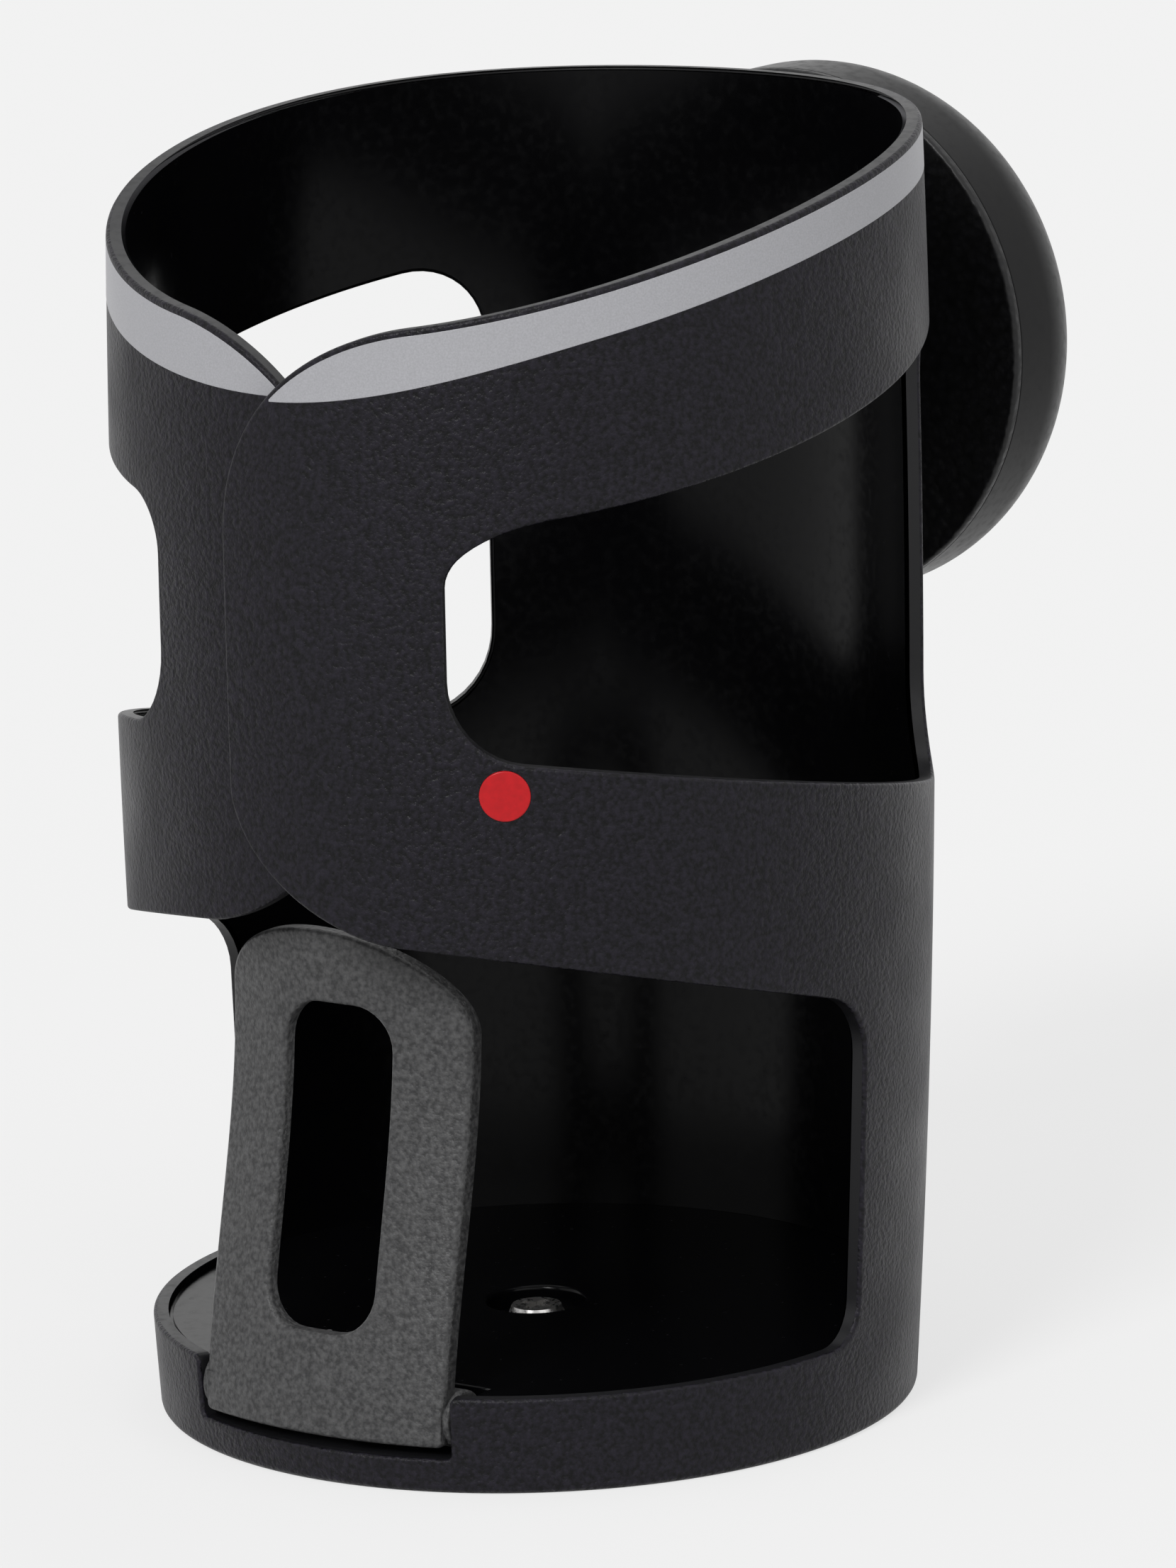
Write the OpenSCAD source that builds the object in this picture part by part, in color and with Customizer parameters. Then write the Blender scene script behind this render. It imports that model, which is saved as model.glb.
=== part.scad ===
// Stroller cup holder: a wrap-around cup wall with a grip flap and a round swivel mount.
// Z is up, the seam of the two arms faces -Y and the mount faces +Y. Units are mm.

/* [Cup] */
// Outer diameter of the wall at the base
base_d = 88; // [84:1:94]
// Outer diameter of the wall at the mouth
mouth_d = 92.8; // [91:0.2:98]
// Height of the rim at the back
rim_z = 149.2; // [146:0.2:160]
// Swell of the wall at half its height
belly = 1.2; // [0:0.1:1.5]
// Fall of the rim from back to front
rim_fall = 19.4; // [14:0.2:22]
// Rise of the rim at the sides above a flat cut
rim_belly = 4.2; // [0:0.1:5]
// Thickness of the wall
wall = 2.2; // [1.8:0.1:2.6]
// Backward lean of the wall, degrees
lean = 1.2; // [0:0.05:2]

/* [Windows] */
// Height of the wall above a side window, from its middle up to the level of the rim at the back
upper_band_h = 30.9; // [28:0.1:37.2]
// Fall of the upper edge of a window towards the front
window_top_fall = 11; // [6:0.2:13]
// Height of a side window at its middle
window_h = 42.2; // [38:0.1:46]
// Rise of the lower edge of a window towards the front
window_low_rise = 8.1; // [4:0.2:10]
// Height of the band under the side windows at its middle
middle_band_h = 25.1; // [20:0.1:28.2]
// Rise of the lower edge of that band towards the front
band_rise = 11.5; // [6:0.2:13]
// Front edge of the right window, degrees from the front
right_window_front = 25.2; // [22:0.2:32]
// Back edge of the right window, degrees from the front
right_window_back = 136; // [130:0.5:146]
// Front edge of the left window, degrees from the front
left_window_front = 27.6; // [24:0.2:32]
// Back edge of the left window, degrees from the front
left_window_back = 139.5; // [130:0.5:146]
// Right back edge of the lower opening, degrees from the front
right_opening_back = 90.2; // [86:0.2:100]
// Left back edge of the lower opening, degrees from the front
left_opening_back = 93.4; // [86:0.2:100]
// Corner radius of the openings
corner_r = 6; // [3:0.5:8]

/* [Arms] */
// How far each arm runs past the middle of the front
arm_lap = 7; // [6.5:0.5:11]
// Length of the rounded upper corner of an arm
arm_top_run = 24; // [18:0.5:26]
// Height of the rounded upper corner of an arm
arm_top_drop = 23; // [18:0.5:34]
// Length of the rounded lower corner of an arm
arm_low_run = 21; // [14:0.5:24]
// Height of the rounded lower corner of an arm
arm_low_lift = 16; // [10:0.5:18]
// Air between the two arms where they lap
arm_gap = 0.35; // [0.3:0.05:0.8]
// Angle at which the inner arm leaves the round wall, degrees from the front
tuck_from = 80; // [74:1:82]

/* [Strips and badge] */
// Height of the right strip behind its front
strip_h = 4.8; // [4:0.1:8]
// Height of the left strip behind its front
left_strip_h = 6.6; // [4:0.1:8]
// Height of both strips near the seam
strip_front_h = 6.8; // [4:0.1:8]
// Depth of a strip in the wall
strip_t = 0.8; // [0.6:0.1:1]
// Edge of the wall left above a strip
strip_edge = 0.7; // [0.6:0.1:2]
// Distance from the end of an arm to the tip of its strip
strip_tip = 6.4; // [6:0.2:14]
// Back end of a strip, degrees from the front
strip_back = 150; // [120:1:165]
// Diameter of the badge
badge_d = 5.7; // [4:0.1:7]
// Thickness of the badge
badge_t = 0.9; // [0.6:0.1:1.2]
// Angle of the badge from the front
badge_angle = 33; // [32:0.2:60]
// Wall left between the badge and the window above it
badge_margin = 0.6; // [0.4:0.1:6]

/* [Base] */
// Height of the sill
sill_z = 11.2; // [10.8:0.2:16]
// Step from the sill down to the floor
floor_step = 0.8; // [0.4:0.1:2]
// Thickness of the floor
floor_t = 2.4; // [2:0.1:2.6]
// Diameter of the screw recess in the floor
recess_d = 11.5; // [9:0.1:14]
// Depth of the screw recess
recess_depth = 2.4; // [2.2:0.1:2.6]
// Thickness of the cover under the base
cover_t = 2; // [1.6:0.1:2.2]
// Bevel around the foot
foot_bevel = 0.8; // [0.4:0.1:1.2]

/* [Grip flap] */
// Width of the flap
flap_w = 33.4; // [28:0.2:36]
// Distance of the flap to the left of the seam
flap_shift = 0.7; // [0:0.1:1.5]
// Height of the top of the flap
flap_top_z = 61.5; // [50:0.5:61.5]
// Height of the round at the top of the flap
flap_round = 9.3; // [6:0.1:12]
// How far the flap leans in
flap_lean = 8; // [5:0.2:9]
// Thickness of the flap
flap_t = 2.4; // [2:0.1:3.4]
// Width of the slot
slot_w = 14.8; // [8:0.2:18]
// Foot of the slot
slot_low_z = 16.6; // [15:0.2:24]
// Frame of the flap above its slot
slot_top_frame = 8.2; // [6:0.2:14]
// Air between the flap and its notch
flap_gap = 1.2; // [0.5:0.1:1.4]
// Diameter of the hinge pin
pin_d = 3; // [2.4:0.1:3.2]

/* [Swivel mount] */
// Diameter of the mount
mount_d = 64; // [62:0.5:72]
// Depth of the mount
mount_depth = 20; // [19:0.2:24]
// Corner radius of its dome
dome_r = 12.5; // [10:0.5:13.5]
// Distance of the mount axis below the rim
mount_drop = 34.2; // [29:0.2:40]
// Air from the wall to the face of the mount
stand_off = 8.4; // [6:0.2:14]
// Diameter of the spigot that the mount turns on
spigot_d = 14; // [12:0.2:15]
// Wall of the dome
dome_wall = 2.4; // [2:0.1:2.8]
// Length of the brass insert
insert_len = 6; // [4.5:0.1:6]
// Thread core diameter of the brass insert
insert_core_d = 4.2; // [3.3:0.1:4.4]

/* [Hidden] */
$fn = 96;
base_r = base_d / 2;
mouth_r = mouth_d / 2;
past = 12;
far_r = mouth_r + past;
near_r = base_r / 2;
top_all = rim_z + past;
window_top_z = rim_z - upper_band_h;
window_low_z = window_top_z - window_h;
band_z = window_low_z - middle_band_h;
mount_z = rim_z - mount_drop;
wall_cone_zs = [for (i = [0:5]) -past / 2 + (rim_z + past) * i / 5];
run_clear = 0.1;
slip = 0.05;
seam_step = 0.02;
seam_lap = 2;
floor_z = sill_z - floor_step;
corner_steps = 5;

// Outer radius of the wall at height z, in its own leaning frame
function wall_r(z) =
    let (t = z / rim_z) base_r + (mouth_r - base_r) * t * (2 - t) + belly * 4 * t * (1 - t);
// Degrees of a length along the wall
function deg_of(len) = len / mouth_r * 180 / PI;
// Height in the leaning frame of a level plane
function level(z, a) = z - mouth_r * tan(lean) * cos(a);
function rim_at(a) = rim_z - rim_fall * (1 + cos(a)) / 2 + rim_belly * pow(sin(a), 2);
function window_top_at(a) = window_top_z - window_top_fall * cos(a);
function window_low_at(a) = window_low_z + window_low_rise * cos(a);
function band_at(a) = band_z + band_rise * cos(a);
// Rise of a round corner at the distance s from its end
function corner(s, r) = s >= r ? 0 : r - sqrt(max(0, r * r - pow(r - max(0, s), 2)));
// The same for a corner that is longer than it is high
function long_corner(s, run, rise, p) =
    s >= run ? 0 : rise * (1 - pow(max(0, 1 - pow(1 - max(0, s) / run, p)), 1 / p));
// Angles from a to b, close together along the corners ra at a and rb at b
function cols(a, b, ra, rb, step) =
    let (p = a + deg_of(ra), q = b - deg_of(rb), n = max(1, ceil((q - p) / step)))
    concat([for (i = [0:corner_steps - 1]) a + (p - a) * (1 - cos(i * 90 / corner_steps))],
           [for (i = [0:n]) p + (q - p) * i / n],
           [for (i = [corner_steps - 1:-1:0]) b - (b - q) * (1 - cos(i * 90 / corner_steps))]);

lap_deg = deg_of(arm_lap);
arm_end = -lap_deg;

// Height where the upper corner of the right arm ends, and where its lower corner starts
function arm_rim(a) =
    rim_at(a) - long_corner((a - arm_end) * PI / 180 * mouth_r, arm_top_run, arm_top_drop, 2);
function arm_low(a) =
    band_at(a) + long_corner((a - arm_end) * PI / 180 * mouth_r, arm_low_run, arm_low_lift, 1.7);

// A ring sector with its own lower and upper height at each angle; rows are [angle, low, high]
module sweep(rows, r0, r1) {
    n = len(rows);
    pts = [for (w = rows) for (k = [0:3])
        let (r = k == 0 || k == 3 ? r0 : r1, z = k < 2 ? w[1] : w[2])
        [r * sin(w[0]), -r * cos(w[0]), z]];
    sides = [for (i = [0:n - 2]) for (k = [0:3])
        let (a = 4 * i + k, b = 4 * i + (k + 1) % 4)
        each [[a, b + 4, a + 4], [a, b, b + 4]]];
    ends = [[0, 2, 1], [0, 3, 2], [4 * n - 4, 4 * n - 3, 4 * n - 2], [4 * n - 4, 4 * n - 2, 4 * n - 1]];
    polyhedron(points = pts, faces = concat(sides, ends), convexity = 6);
}

module tilt() {
    rotate([-lean, 0, 0])
        children();
}

// The wall as a ring from the radius wall_r - out_in to wall_r - in_in, between two angles
module ring(out_in, in_in, from = 0, to = 360, zs = wall_cone_zs) {
    up = [for (z = zs) [wall_r(z) - out_in, z]];
    down = [for (i = [len(zs) - 1:-1:0]) [wall_r(zs[i]) - in_in, zs[i]]];
    rotate([0, 0, from - 90])
        rotate_extrude(angle = to - from, convexity = 4)
            polygon(concat(up, down));
}

// Everything inside the wall
module wall_inside(in_in) {
    pts = [for (z = wall_cone_zs) [wall_r(z) - in_in, z]];
    rotate_extrude(convexity = 4)
        polygon(concat([[0, wall_cone_zs[0]]], pts, [[0, wall_cone_zs[len(wall_cone_zs) - 1]]]));
}

// The inner arm is a ring of its own, whose circle touches the wall at tuck_from
tuck = (wall + arm_gap) / (1 - cos(tuck_from - lap_deg));
tuck_zs = [for (z = wall_cone_zs) if (z > sill_z + past) z];
module tucked_ring(out_in, in_in) {
    translate([-tuck * sin(tuck_from), -tuck * cos(tuck_from), 0])
        ring(tuck + out_in + seam_step, tuck + in_in - seam_step,
             -tuck_from - seam_lap, tuck_from, tuck_zs);
}

module left_side() {
    mirror([1, 0, 0])
        children();
}

// All above the rim, in two halves with the same steps where they meet
module rim_cut() {
    for (from = [-100, 80])
        sweep([for (a = [from:10:from + 200]) [a, rim_at(a), top_all]], near_r, far_r);
}

module opening_cut() {
    sweep([for (a = cols(-left_opening_back, right_opening_back, corner_r, corner_r, 10))
        let (s = min(right_opening_back - a, left_opening_back + a) * PI / 180 * mouth_r)
        [a, level(sill_z, a) + corner(s, corner_r * 0.8), band_at(a) - corner(s, corner_r)]],
        near_r, far_r);
}

// The upper front corner of a window is top_run long and corner_r high
module window_cut(front, rear, top_run) {
    sweep([for (a = cols(front, rear, max(top_run, corner_r * 1.4), corner_r * 2, 12))
        let (s = (a - front) * PI / 180 * mouth_r,
             e = (rear - a) * PI / 180 * mouth_r,
             low = s < e ? corner(s, corner_r * 1.4) : corner(e, corner_r * 2),
             high = s < e ? long_corner(s, top_run, corner_r, 2) : corner(e, corner_r * 1.7))
        [a, window_low_at(a) + low, window_top_at(a) - high]],
        near_r, far_r);
}

// All that the right arm lacks in front: the gap to its left, and its two round corners
module arm_end_cut() {
    top_end = arm_end + deg_of(arm_top_run);
    low_end = arm_end + deg_of(arm_low_run);
    sweep([for (i = [0:4])
        let (a = -tuck_from + (arm_end + tuck_from) * i / 4)
        [a, level(sill_z, a), top_all]], near_r, far_r);
    sweep([for (a = cols(arm_end - 1, top_end, arm_top_run * 0.8, 1, 10)) [a, arm_rim(a), top_all]],
        near_r, far_r);
    sweep([for (a = cols(arm_end - 1, low_end, arm_low_run * 0.8, 1, 10))
        [a, level(sill_z, a) + 1, arm_low(a)]], near_r, far_r);
}

function ease(t) = t * t * (3 - 2 * t);
// Height of a strip at an angle, where it is h high behind its front
strip_front = 48;
function strip_at(a, h) = strip_front_h + (h - strip_front_h) * ease(min(1, max(0, a / strip_front)));
// Region of a rim strip on the right arm, with clearance all round
module strip_zone(h, clear) {
    start = arm_end + deg_of(strip_tip - clear);
    end = strip_back + deg_of(clear);
    sweep([for (a = cols(start, end, arm_top_run - strip_tip, h / 2, 10))
        let (s = (end - a) * PI / 180 * mouth_r,
             hi = arm_rim(a) - strip_edge + clear,
             lo = rim_at(a) - strip_edge - strip_at(a, h) - clear)
        [a, min(lo, hi - 0.3) + corner(s, h / 2), hi - corner(s, h / 2)]],
        near_r, far_r);
}

module right_arm_and_back() {
    difference() {
        ring(0, wall);
        arm_end_cut();
        intersection() {
            ring(-1, strip_t + slip);
            union() {
                strip_zone(strip_h, slip);
                left_side()
                    strip_zone(left_strip_h, slip);
            }
        }
    }
}

module left_arm() {
    difference() {
        tucked_ring(0, wall);
        left_side()
            arm_end_cut();
        intersection() {
            tucked_ring(-1, strip_t + slip);
            left_side()
                strip_zone(left_strip_h, slip);
        }
    }
}

module cup_wall() {
    difference() {
        union() {
            right_arm_and_back();
            left_arm();
        }
        rim_cut();
        opening_cut();
        window_cut(right_window_front, right_window_back, corner_r * 2);
        left_side()
            window_cut(left_window_front, left_window_back, corner_r);
    }
}

// Level base with a bevelled edge
module foot_envelope() {
    rotate_extrude()
        polygon([[0, 0], [base_r - foot_bevel, 0], [base_r - foot_bevel + past, past],
                 [far_r, past + far_r / 2], [far_r, top_all], [0, top_all]]);
}

// The wall in the leaning frame at the height of the mount
wall_back_y = wall_r(mount_z) + mount_z * sin(lean);
face_y = wall_back_y + stand_off;
boss_r = spigot_d / 2 + 6;
boss_end = face_y - 0.4;
face_t = 3;
// Hub, spigot, keeper and screw head share the room between the face and the boss of the insert
insert_boss_wall = 1;
stack_room = mount_depth - insert_len - insert_boss_wall;
hub_top = stack_room * 0.46;
spigot_len = stack_room * 0.66;
keeper_t = stack_room * 0.09;
pivot_head_t = stack_room * 0.18;
pivot_grip = 3.2;
pivot_len = spigot_len + keeper_t + pivot_grip;

// Local z runs along +Y, from the face of the mount
module on_mount(from = 0) {
    translate([0, face_y + from, mount_z])
        rotate([-90, 0, 0])
            children();
}

pivot_bore_r = 1.65;
module rear_boss() {
    difference() {
        union() {
            on_mount(boss_end - face_y - stand_off - wall * 2)
                cylinder(r = boss_r, h = stand_off + wall * 2);
            on_mount(boss_end - face_y - 1)
                cylinder(r = spigot_d / 2, h = spigot_len + 1);
        }
        tilt()
            wall_inside(wall * 0.7);
    }
}

// Hinge of the flap, in a notch of the foot
notch_half = flap_w / 2 + flap_gap;
notch_z = 4;
foot_front = base_r - 0.4;
pin_r = pin_d / 2;
knuckle_r = pin_r + 1.8;
hinge_y = -(foot_front - flap_t - knuckle_r - 0.8);
hinge_z = notch_z + knuckle_r + 0.5;
lug_t = 2.8;
notch_back = hinge_y + knuckle_r + 0.6;
pin_half = notch_half + lug_t - 0.6;
snap = 0.2;
floor_low = floor_z - floor_t;
under_z = cover_t + 0.2;

// The flap, its hinge and its notch sit a little to the left of the seam
module at_flap() {
    translate([-flap_shift, 0, 0])
        children();
}

module hinge_box() {
    intersection() {
        at_flap()
            translate([-notch_half - lug_t, -far_r, under_z])
                cube([2 * (notch_half + lug_t), far_r + notch_back + 1.8, floor_z - under_z]);
        tilt()
            wall_inside(wall * 0.5);
    }
}

module notch_cuts() {
    translate([-notch_half, -far_r, notch_z])
        cube([2 * notch_half, far_r + notch_back, past]);
    translate([-pin_half, hinge_y, hinge_z])
        rotate([0, 90, 0])
            cylinder(r = pin_r + slip, h = 2 * pin_half);
    translate([-pin_half, hinge_y - pin_r + snap, 0])
        cube([2 * pin_half, pin_d - 2 * snap, hinge_z]);
}

seat_z = floor_z - recess_depth;
shank_r = 1.5;
head_r = 3.6;
module floor_parts() {
    translate([0, 0, floor_low])
        cylinder(r = base_r - wall + 1, h = floor_t);
    translate([0, 0, seat_z - 2])
        cylinder(r = recess_d / 2 + 2, h = recess_depth + 2);
}

badge_r = badge_d / 2;
badge_z = window_low_at(badge_angle) - badge_margin - badge_r;
badge_slope = atan((wall_r(badge_z + 5) - wall_r(badge_z - 5)) / 10);
// Local z runs outward, from the wall's face under the badge
module on_badge() {
    rotate([0, 0, badge_angle])
        translate([0, -wall_r(badge_z), badge_z])
            rotate([90 - badge_slope, 0, 0])
                children();
}
badge_seat = badge_t - 0.25;

module cup_body() {
    color([0.09, 0.09, 0.1])
        intersection() {
            difference() {
                union() {
                    tilt()
                        cup_wall();
                    floor_parts();
                    hinge_box();
                    rear_boss();
                }
                at_flap()
                    notch_cuts();
                translate([0, 0, seat_z])
                    cylinder(r = recess_d / 2, h = past);
                cylinder(r = shank_r + run_clear, h = past);
                on_mount(spigot_len - pivot_len - 1)
                    cylinder(r = pivot_bore_r, h = pivot_len + past);
                tilt()
                    on_badge()
                        translate([0, 0, -badge_seat])
                            cylinder(r = badge_r + slip, h = past);
            }
            foot_envelope();
        }
}

module strip_colour() {
    color([0.68, 0.68, 0.7])
        children();
}

module right_rim_strip() {
    strip_colour()
        tilt()
            intersection() {
                ring(0, strip_t);
                strip_zone(strip_h, 0);
            }
}

module left_rim_strip() {
    strip_colour()
        tilt()
            intersection() {
                union() {
                    ring(0, strip_t, 180, 360 - tuck_from);
                    tucked_ring(0, strip_t);
                }
                left_side()
                    strip_zone(left_strip_h, 0);
            }
}

module badge_dot() {
    color([0.8, 0.06, 0.09])
        tilt()
            on_badge()
                translate([0, 0, -badge_seat])
                    cylinder(r = badge_r, h = badge_t);
}

// The flap curves round a centre behind it, so that its face follows the wall
flap_centre_y = 10;
flap_rise_end = 54;
function flap_face_r(z) =
    foot_front + flap_centre_y - flap_lean * ease(min(1, max(0, z / flap_rise_end)));
flap_zs = [notch_z - 1, notch_z + 5, 14, 20, 26, 32, 38, 44, 50, flap_top_z + 2];
flap_foot_z = notch_z + 1.1;
flap_slant = 0.09;
slot_r = 5;

module flap_plate() {
    face = [for (z = flap_zs) [flap_face_r(z), z]];
    back = [for (i = [len(flap_zs) - 1:-1:0]) [flap_face_r(flap_zs[i]) - flap_t, flap_zs[i]]];
    translate([0, flap_centre_y, 0])
        rotate([0, 0, -150])
            rotate_extrude(angle = 120)
                polygon(concat(face, back));
}

// Front view of the flap: its top is half an ellipse that slants down to the right
module flap_outline() {
    half = flap_w / 2;
    top = [for (i = [-12:12])
        let (t = i * 90 / 12, x = half * sin(t))
        [x, flap_top_z - flap_round * (1 - cos(t)) - flap_slant * x]];
    polygon(concat([[-half, flap_foot_z]], top, [[half, flap_foot_z]]));
}

module round_slot(w, low, high, r) {
    for (x = [-1, 1])
        for (z = [low + r, high - r])
            translate([x * (w / 2 - r), z])
                circle(r = r);
    translate([-w / 2, low + r])
        square([w, high - low - 2 * r]);
    translate([-w / 2 + r, low])
        square([w - 2 * r, high - low]);
}

coil_half = 4.2;
knuckle_len = notch_half - coil_half - 0.6;
module knuckle(from_x) {
    translate([from_x, hinge_y, hinge_z])
        rotate([0, 90, 0])
            cylinder(r = knuckle_r, h = knuckle_len);
    translate([from_x, -foot_front, hinge_z - knuckle_r * 0.6])
        cube([knuckle_len, foot_front + hinge_y, knuckle_r * 1.2]);
}

module grip_flap() {
    color([0.3, 0.3, 0.31])
        at_flap()
            difference() {
                union() {
                    intersection() {
                        flap_plate();
                        translate([0, -10, 0])
                            rotate([90, 0, 0])
                                linear_extrude(height = far_r)
                                    flap_outline();
                    }
                    intersection() {
                        for (side = [-1, 1])
                            knuckle(side > 0 ? coil_half : 0.6 - notch_half);
                        translate([0, flap_centre_y, 0])
                            cylinder(r = flap_face_r(hinge_z) - 0.5, h = past * 2);
                    }
                }
                translate([0, -10, 0])
                    rotate([90, 0, 0])
                        linear_extrude(height = far_r)
                            round_slot(slot_w, slot_low_z, flap_top_z - slot_top_frame, slot_r);
                translate([-notch_half, hinge_y, hinge_z])
                    rotate([0, 90, 0])
                        cylinder(r = pin_r + run_clear, h = 2 * notch_half);
            }
}

module flap_pin() {
    color([0.7, 0.7, 0.72])
        at_flap()
            translate([0.2 - pin_half, hinge_y, hinge_z])
                rotate([0, 90, 0])
                    cylinder(r = pin_r, h = 2 * pin_half - 0.4);
}

// Torsion spring round the pin, with one leg behind the flap and one at the back of the notch
wire_r = 0.35;
coil_r = pin_r + wire_r + 0.35;
coil_turns = 5;
coil_steps = 12;
coil_end = 0.8;
spring_leg = 7;
spring_sides = 8;
// Rows are [turn, rise above the coil]
coil_rows = concat([[0.25, spring_leg]],
                   [for (i = [0:(coil_turns - 0.5) * coil_steps]) [0.25 + i / coil_steps, 0]],
                   [[coil_turns - 0.25, spring_leg]]);
module flap_spring() {
    n = len(coil_rows) - 1;
    ring = [for (w = coil_rows) for (k = [0:spring_sides - 1])
        let (u = k * 360 / spring_sides, r = coil_r + wire_r * cos(u), turn = 360 * w[0])
        [(coil_half - coil_end) * (2 * w[0] / coil_turns - 1) + wire_r * sin(u),
         hinge_y + r * sin(turn), hinge_z + r * cos(turn) + w[1]]];
    skin = [for (i = [0:n - 1]) for (k = [0:spring_sides - 1])
        let (a = i * spring_sides + k, b = i * spring_sides + (k + 1) % spring_sides)
        each [[a, a + spring_sides, b + spring_sides], [a, b + spring_sides, b]]];
    caps = [for (k = [1:spring_sides - 2])
        each [[0, k, k + 1],
              [n * spring_sides, n * spring_sides + k + 1, n * spring_sides + k]]];
    color([0.75, 0.75, 0.78])
        at_flap()
            polyhedron(points = ring, faces = concat(skin, caps), convexity = 8);
}

cover_boss_z = seat_z - 2.2;
module base_cover() {
    color([0.13, 0.13, 0.14])
        difference() {
            union() {
                rotate_extrude()
                    polygon([[0, 0], [base_r - wall - 0.8, 0], [base_r - wall - 0.4, 0.4],
                             [base_r - wall - 0.4, cover_t], [0, cover_t]]);
                cylinder(r = 4, h = cover_boss_z);
            }
            translate([0, 0, cover_t / 2])
                cylinder(r = shank_r + slip, h = past);
        }
}

module floor_screw() {
    color([0.75, 0.75, 0.76])
        difference() {
            union() {
                translate([0, 0, seat_z])
                    cylinder(r1 = head_r, r2 = head_r * 0.8, h = recess_depth - 0.6);
                translate([0, 0, cover_t / 2 + 0.3])
                    cylinder(r = shank_r, h = seat_z - cover_t / 2 - 0.2);
            }
            for (turn = [0, 90])
                rotate([0, 0, turn])
                    translate([-head_r * 0.55, -0.45, seat_z + recess_depth - 1.6])
                        cube([head_r * 1.1, 0.9, past]);
        }
}

disc_r = mount_d / 2;
bush_r = spigot_d / 2 + run_clear;
bush_out = bush_r + 2;
lip_z = 1.2;
hub_r = bush_out + 2;
tower_r = 3.4;
sleeve_r = tower_r + 0.8;
tower_z = mount_depth * 0.45;
rim_room = disc_r - dome_wall - hub_r - 2 * sleeve_r;
// The screws stand close to the hub, where the dome is still high
screw_circle = hub_r + sleeve_r + rim_room * 0.168;
module three_places() {
    for (i = [0:2])
        rotate([0, 0, 120 * i + 60])
            translate([screw_circle, 0, 0])
                children();
}

module mount_face() {
    color([0.1, 0.1, 0.11])
        on_mount()
            difference() {
                union() {
                    rotate_extrude()
                        polygon([[bush_out, 0], [disc_r - 0.8, 0], [disc_r, 0.8], [disc_r, lip_z],
                                 [disc_r - dome_wall - 0.2, lip_z],
                                 [disc_r - dome_wall - 0.2, face_t],
                                 [hub_r, face_t], [hub_r, hub_top],
                                 [bush_out, hub_top]]);
                    three_places()
                        cylinder(r = tower_r, h = tower_z);
                }
                three_places()
                    translate([0, 0, face_t])
                        cylinder(r = 1.35, h = tower_z);
            }
}

module swivel_bushing() {
    color([0.85, 0.85, 0.82])
        on_mount()
            rotate_extrude()
                polygon([[bush_r, 0], [bush_out, 0], [bush_out, hub_top],
                         [bush_out + 1.6, hub_top], [bush_out + 1.6, hub_top + 1], [bush_r, hub_top + 1]]);
}

washer_out = bush_out + 1.2;
module friction_washer() {
    color([0.5, 0.42, 0.3])
        on_mount(hub_top + 1.05)
            difference() {
                cylinder(r = washer_out, h = spigot_len - hub_top - 1.05);
                translate([0, 0, -1])
                    cylinder(r = bush_r, h = past);
            }
}

module retaining_washer() {
    color([0.72, 0.72, 0.74])
        on_mount(spigot_len)
            difference() {
                cylinder(r = washer_out, h = keeper_t);
                translate([0, 0, -1])
                    cylinder(r = pivot_bore_r + 0.1, h = past);
            }
}

module pivot_screw() {
    color([0.75, 0.75, 0.76])
        on_mount(spigot_len + keeper_t)
            difference() {
                union() {
                    cylinder(r = 3.8, h = pivot_head_t);
                    translate([0, 0, -pivot_len])
                        cylinder(r = pivot_bore_r - slip, h = pivot_len + pivot_head_t / 2);
                }
                for (turn = [0, 90])
                    rotate([0, 0, turn])
                        translate([-2, -0.5, pivot_head_t * 0.45])
                            cube([4, 1, past]);
            }
}

insert_r = insert_core_d / 2 + 1.5;
insert_from = mount_depth - insert_len;
head_seat = mount_depth * 0.6;
function dome_arc(r, cr, cz) = [for (i = [0:10]) [cr + r * cos(9 * i), cz + r * sin(9 * i)]];
// The dome as a full body, thin smaller all round, from the height low up
module dome_body(low, thin) {
    rotate_extrude()
        polygon(concat([[0, low], [disc_r - thin, low]],
                       dome_arc(dome_r - thin, disc_r - dome_r, mount_depth - dome_r),
                       [[0, mount_depth - thin]]));
}

module mount_dome() {
    color([0.07, 0.07, 0.08])
        on_mount()
            difference() {
                dome_body(lip_z, 0);
                difference() {
                    dome_body(0, dome_wall);
                    three_places()
                        translate([0, 0, tower_z + slip])
                            cylinder(r = sleeve_r, h = mount_depth);
                    translate([0, 0, insert_from - insert_boss_wall])
                        cylinder(r = insert_r + 2.4, h = mount_depth);
                }
                three_places() {
                    translate([0, 0, head_seat])
                        cylinder(r = 2.75, h = mount_depth);
                    cylinder(r = 1.4, h = mount_depth);
                }
                translate([0, 0, insert_from])
                    cylinder(r = insert_r, h = mount_depth);
            }
}

module shell_screws() {
    color([0.75, 0.75, 0.76])
        on_mount()
            three_places()
                difference() {
                    union() {
                        translate([0, 0, face_t + 1])
                            cylinder(r = 1.3, h = head_seat - face_t);
                        translate([0, 0, head_seat])
                            cylinder(r = 2.5, h = 1.8);
                    }
                    for (turn = [0, 90])
                        rotate([0, 0, turn])
                            translate([-1.4, -0.35, head_seat + 0.9])
                                cube([2.8, 0.7, past]);
                }
}

module mount_insert() {
    color([0.75, 0.6, 0.3])
        on_mount(insert_from)
            difference() {
                cylinder(r = insert_r, h = insert_len);
                translate([0, 0, -1])
                    cylinder(r = insert_core_d / 2, h = past);
            }
}

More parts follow.
